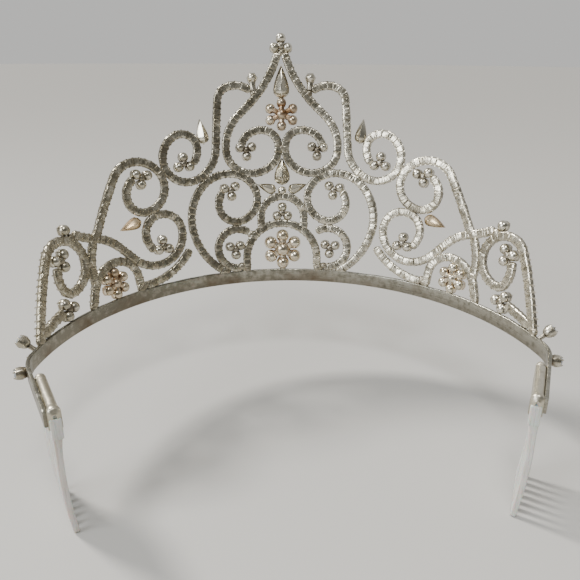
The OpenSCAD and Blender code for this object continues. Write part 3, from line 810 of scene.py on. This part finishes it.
hook_tip, outer_tip = (7.3, 61.5), (64.7, 25.9)
tips = mirrored([hook_tip, outer_tip])
stem = turned([(1.2, -0.2, 0.4), (1.05, 0.5, 0.3), (0.95, 1.4, 0.2), (1.15, 2.4, 0.3)], 12)
bud = turned([(0.35, -1.75, 0), (1.25, -1.15, 0.05), (1.75, -0.1, 0.15), (1.6, 0.5, 0.3)], 6)
foot, foot_along, foot_up, foot_out = wall_frame([hook_tip[0], -hook_tip[0]],
                                                 [hook_tip[1] - 3.1] * 2)
bud_places = wall_frame([hook_tip[0], -hook_tip[0]], [hook_tip[1] + 0.2] * 2)
piece("tip_cups", joined(settings_skin(tips, tips), copies(bud, *bud_places),
                         copies(stem, foot, foot_out, foot_along, foot_up)),
      setting_metal, "setting_metal", "tip_settings")
gem_places.append(tips)
stones("cluster_gems", gems_skin(np.concatenate(gem_places), gem_radius), "cluster_stones")

# ---- Drops ----
# Pear-shaped settings hang in the heart, point out of the star and stand in the scrolls.
# Their backs are stamped up to a long ridge and polished, and each holds a pear-cut stone.


def drop_width(x, r, l):
    """Half the drop's width at x from its round end's middle: the circle of radius r behind
    it, and ahead of it a leaf's edge that runs out to the tip by a power of the distance."""
    behind = np.sqrt(np.clip(r ** 2 - np.minimum(x, 0) ** 2, 0, None))
    return np.where(x < 0, behind, r * (1 - np.clip(x / l, 0, 1) ** 1.5))


def drop_skin(r, l):
    """A drop: sections across it, from the round end to the tip, each with two flat slopes
    behind that meet in a ridge, a collar at its sides, a rim, and a sunk seat in front. The
    rows of a section are the share of the half width, the share of the depth, the height in
    front and the recess. Three claws stand at the round end and one at the tip."""
    x = np.concatenate([-r * np.cos(np.linspace(0.12, math.pi / 2, 9)),
                        np.linspace(0, 1, 18)[1:] * l * 0.985])
    w = drop_width(x, r, l)[:, None]
    deep = 0.86 * r * (w / r) ** 0.8
    half = np.array([(1, 0, 1.05, 0.1), (1, 0, 0.2, 0.5), (0.97, 0.1, 0, 0.3),
                     (0.85, 0.24, 0, 0.1), (0.6, 0.5, 0, 0), (0.3, 0.77, 0, 0),
                     (0.05, 0.985, 0, 0)])
    seat = np.array([(-0.86, 0, 1.15, 0), (-0.78, 0, 0.9, 0.7), (0, 0, 0.85, 0.9),
                     (0.78, 0, 0.9, 0.7), (0.86, 0, 1.15, 0)])
    v, back, front, recess_and_shade = np.concatenate([half, half[::-1] * [-1, 1, 1, 1], seat]).T
    rings = np.stack([x[:, None] + 0 * w * v, w * v, front - deep * back, recess_and_shade + 0 * w], -1)
    round_claws = round_copies(claw(r * 0.94, 0.5, 1.75, 0.3, 0.28), 110, 180, 250)
    return joined(skin(rings), round_claws, claw(l * 0.88, 0.4, 1.75, 0.35, 0.3))


def drop_gem_skin(r, l):
    """The drop's stone: its outline drawn in for the girdle, the crown and the flat table."""
    half = np.array([-0.96 * r, -0.7 * r, 0, 0.35 * l, 0.65 * l, 0.97 * l])
    wide = drop_width(half, r, l)
    outline = np.concatenate([np.stack([half, wide], -1), np.stack([half, -wide], -1)[::-1]])
    middle = (l - r) * 0.4
    rows = [np.stack([middle + (outline[:, 0] - middle) * k, outline[:, 1] * k,
                      0 * outline[:, 0] + h, 0 * outline[:, 0]], -1)
            for k, h in ((0.6, 0.8), (0.8, 1.02), (0.8, 1.08), (0.68, 1.4), (0.48, 1.62))]
    return skin(np.stack(rows))


def at_angle(s, z, degrees, mirror):
    """Place on the wall with its axes turned by an angle from the direction of growing s, and
    mirrored to the other half of the crest for mirror -1."""
    origin, along, up, out = wall_frame([s * mirror], [z])
    a = math.radians(degrees)
    ahead = math.cos(a) * along * mirror + math.sin(a) * up
    return origin, ahead, mirror * np.cross(out, ahead), out


drop_metal = aged_metal("drop_metal", (0.80, 0.76, 0.65, 1), (0.66, 0.62, 0.51, 1),
                        (0.12, 0.075, 0.03, 1), 0.3, 0.15, 500.0, 0.000002)
bronzed_metal = aged_metal("bronzed_metal", (0.82, 0.68, 0.47, 1), (0.62, 0.47, 0.29, 1),
                           (0.20, 0.10, 0.035, 1), 0.6, 0.16, 500.0, 0.000002)
both, middle_only = (1, -1), (1,)
drops = {"pendant_drop": [(0, 58.3, 2.5, 7.3, 90, middle_only)],
         "star_drops": [(0, 32.4, 2.5, 6, 90, middle_only), (3.2, 28.7, 1.6, 4.6, 20, both)],
         "hook_drops": [(21.1, 44.8, 1.8, 5.6, 85, both)],
         "scroll_drops": [(43.5, 22.8, 1.7, 5.1, -15, both)]}
star_middle = [[0, 28.2]]
drop_gems = []
for name, group in drops.items():
    shapes = []
    for s, z, r, l, degrees, mirrors in group:
        for mirror in mirrors:
            place = at_angle(s, z, degrees, mirror)
            shapes.append(copies(drop_skin(r, l), *place))
            drop_gems.append(copies(drop_gem_skin(r, l), *place))
    if name == "star_drops":
        shapes.append(settings_skin(star_middle, star_middle, setting_radius * 0.9))
        drop_gems.append(gems_skin(star_middle, 1.1))
    piece(f"{name}_cast", joined(*shapes), bronzed_metal if name == "scroll_drops" else drop_metal,
          "setting_metal", name, crease=24)
stones("drop_gems", joined(*drop_gems), "drop_stones")

# ---- Flowers ----
# Four flowers of round settings: a small one under the pendant, a large one over the middle
# of the band and one in each side arch. Brown patina lies in their hollows, and painted shade
# darkens each petal on the side that faces the flower's middle.

flower_metal = aged_metal("flower_metal", (0.88, 0.83, 0.70, 1), (0.64, 0.53, 0.38, 1),
                          (0.24, 0.125, 0.05, 1), 0.75, 0.2, 1500.0, 0.00002)
petal_count = 6
flower_gems = []


def bars_skin(places, middle, r):
    """Short round bars behind a flower, one from its middle to each petal."""
    start = np.broadcast_to(wall_frame([middle[0]], [middle[1]], -0.35)[0], (len(places), 3))
    end, _, _, out = wall_frame(places[:, 0], places[:, 1], -0.35)
    along = end - start
    across = np.cross(out, along)
    across /= np.linalg.norm(across, axis=1, keepdims=True)
    bar = turned([(1, 0, 0.45), (1, 0.35, 0.3), (1.15, 0.6, 0.15), (1.0, 0.9, 0.3)], 8)
    return copies(bar, start, across * r, out * r, along)


def flower(node, s, z, r, first, petal, middle):
    """Makes a flower: petals on a circle of radius r round a middle, all of them settings, of
    radius petal and middle, and the bars behind it. The middle's domed back has flat facets."""
    places = round_places(s, z, r, petal_count, first)
    q = np.linspace(0.2, math.pi / 2, 6)
    facets = turned(np.stack([middle * 1.04 * np.sin(q), -middle * np.cos(q) - 0.15,
                              0.1 + 0.2 * (q > 1.2)], -1), 8)
    shapes = [settings_skin(places, [[s, z]] * petal_count, petal),
              settings_skin([[s, z]], [[s, z]], middle), copies(facets, *wall_frame([s], [z])),
              bars_skin(places, (s, z), petal * 0.5)]
    piece(f"{node}_cast", joined(*shapes), flower_metal, "flower_metal", node, crease=32)
    flower_gems.extend([gems_skin(places, petal * 0.82), gems_skin([[s, z]], middle * 0.82)])


flower("drop_flower", 0, 51.1, 3.4, 90, setting_radius, 1.88)
flower("centre_flower", 0, 10.1, 4.2, 90, 2.0, 2.4)
flower("side_flower_left", 53.8, 8.1, 3, 36, setting_radius, 1.5)
flower("side_flower_right", -53.8, 8.1, 3, 144, setting_radius, 1.5)
stones("flower_gems", joined(*flower_gems), "flower_stones")

# ---- Studio ----
# A plain pale floor under the comb teeth, a soft sun high in front of the crest on the
# wearer's left, weak lights behind it, and the camera above the band's open ends.

floor_radius, floor_corners, floor_gap = 4.0, 64, 0.0002
floor_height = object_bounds()[0].z - floor_gap
floor_mesh = bpy.data.meshes.new("floor")
turn = np.arange(floor_corners) * 2 * math.pi / floor_corners
floor_mesh.from_pydata(np.stack([floor_radius * np.cos(turn), floor_radius * np.sin(turn),
                                 floor_height + 0 * turn], -1).tolist(), [],
                       [list(range(floor_corners))])
floor = bpy.data.objects.new("floor", floor_mesh)
bpy.context.scene.collection.objects.link(floor)
pale = bpy.data.materials.new("pale_floor")
pale.use_nodes = True
floor_inputs = pale.node_tree.nodes["Principled BSDF"].inputs
floor_inputs["Base Color"].default_value = (0.52, 0.51, 0.49, 1)
floor_inputs["Roughness"].default_value = 0.9
floor_mesh.materials.append(pale)
tiara_middle = Vector((0, -0.03, 0.03))


def soft_light(name, place, size, power, colour):
    """A square area light that faces the middle of the tiara."""
    data = bpy.data.lights.new(name, "AREA")
    data.size, data.energy, data.color = size, power, colour
    light = bpy.data.objects.new(name, data)
    light.location = place
    toward = tiara_middle - Vector(place)
    light.rotation_euler = toward.to_track_quat("-Z", "Y").to_euler()
    bpy.context.scene.collection.objects.link(light)


sun_data = bpy.data.lights.new("key", "SUN")
sun_data.energy, sun_data.angle, sun_data.color = 3.5, math.radians(11), (1.0, 0.97, 0.91)
sun = bpy.data.objects.new("key", sun_data)
sunlight = Vector((-0.62, 0.42, -0.75))
sun.rotation_euler = sunlight.to_track_quat("-Z", "Y").to_euler()
bpy.context.scene.collection.objects.link(sun)
soft_light("fill", (0.5, 0.28, 0.3), 0.34, 2.8, (0.95, 0.98, 1.0))
soft_light("top", (0.0, 0.22, 0.6), 0.14, 1.6, (1.0, 0.99, 0.96))

world = bpy.data.worlds.new("room")
world.use_nodes = True
backdrop = world.node_tree
depth = wired(backdrop, "ShaderNodeSeparateXYZ", {
    "Vector": wired(backdrop, "ShaderNodeTexCoord", {}).outputs["Generated"]}).outputs["Y"]
light_wall, dim_wall = (0.60, 0.595, 0.58, 1), (0.16, 0.162, 0.154, 1)
shade = mixed(backdrop, ramp(backdrop, depth, -0.4, 0.6), light_wall, dim_wall)
backdrop.links.new(shade, backdrop.nodes["Background"].inputs["Color"])
bpy.context.scene.world = world

lens = bpy.data.cameras.new("camera")
lens.sensor_width, lens.lens, lens.clip_start = 36.0, 37.28, 0.002
camera = bpy.data.objects.new("camera", lens)
camera.location = (0.00852, 0.12138, 0.07047)
aim = Vector((-0.0023, -0.061, -0.0033)) - camera.location
roll = Quaternion((0, 0, 1), math.radians(0.35))
camera.rotation_mode = "QUATERNION"
camera.rotation_quaternion = aim.to_track_quat("-Z", "Y") @ roll
bpy.context.scene.collection.objects.link(camera)
bpy.context.scene.camera = camera
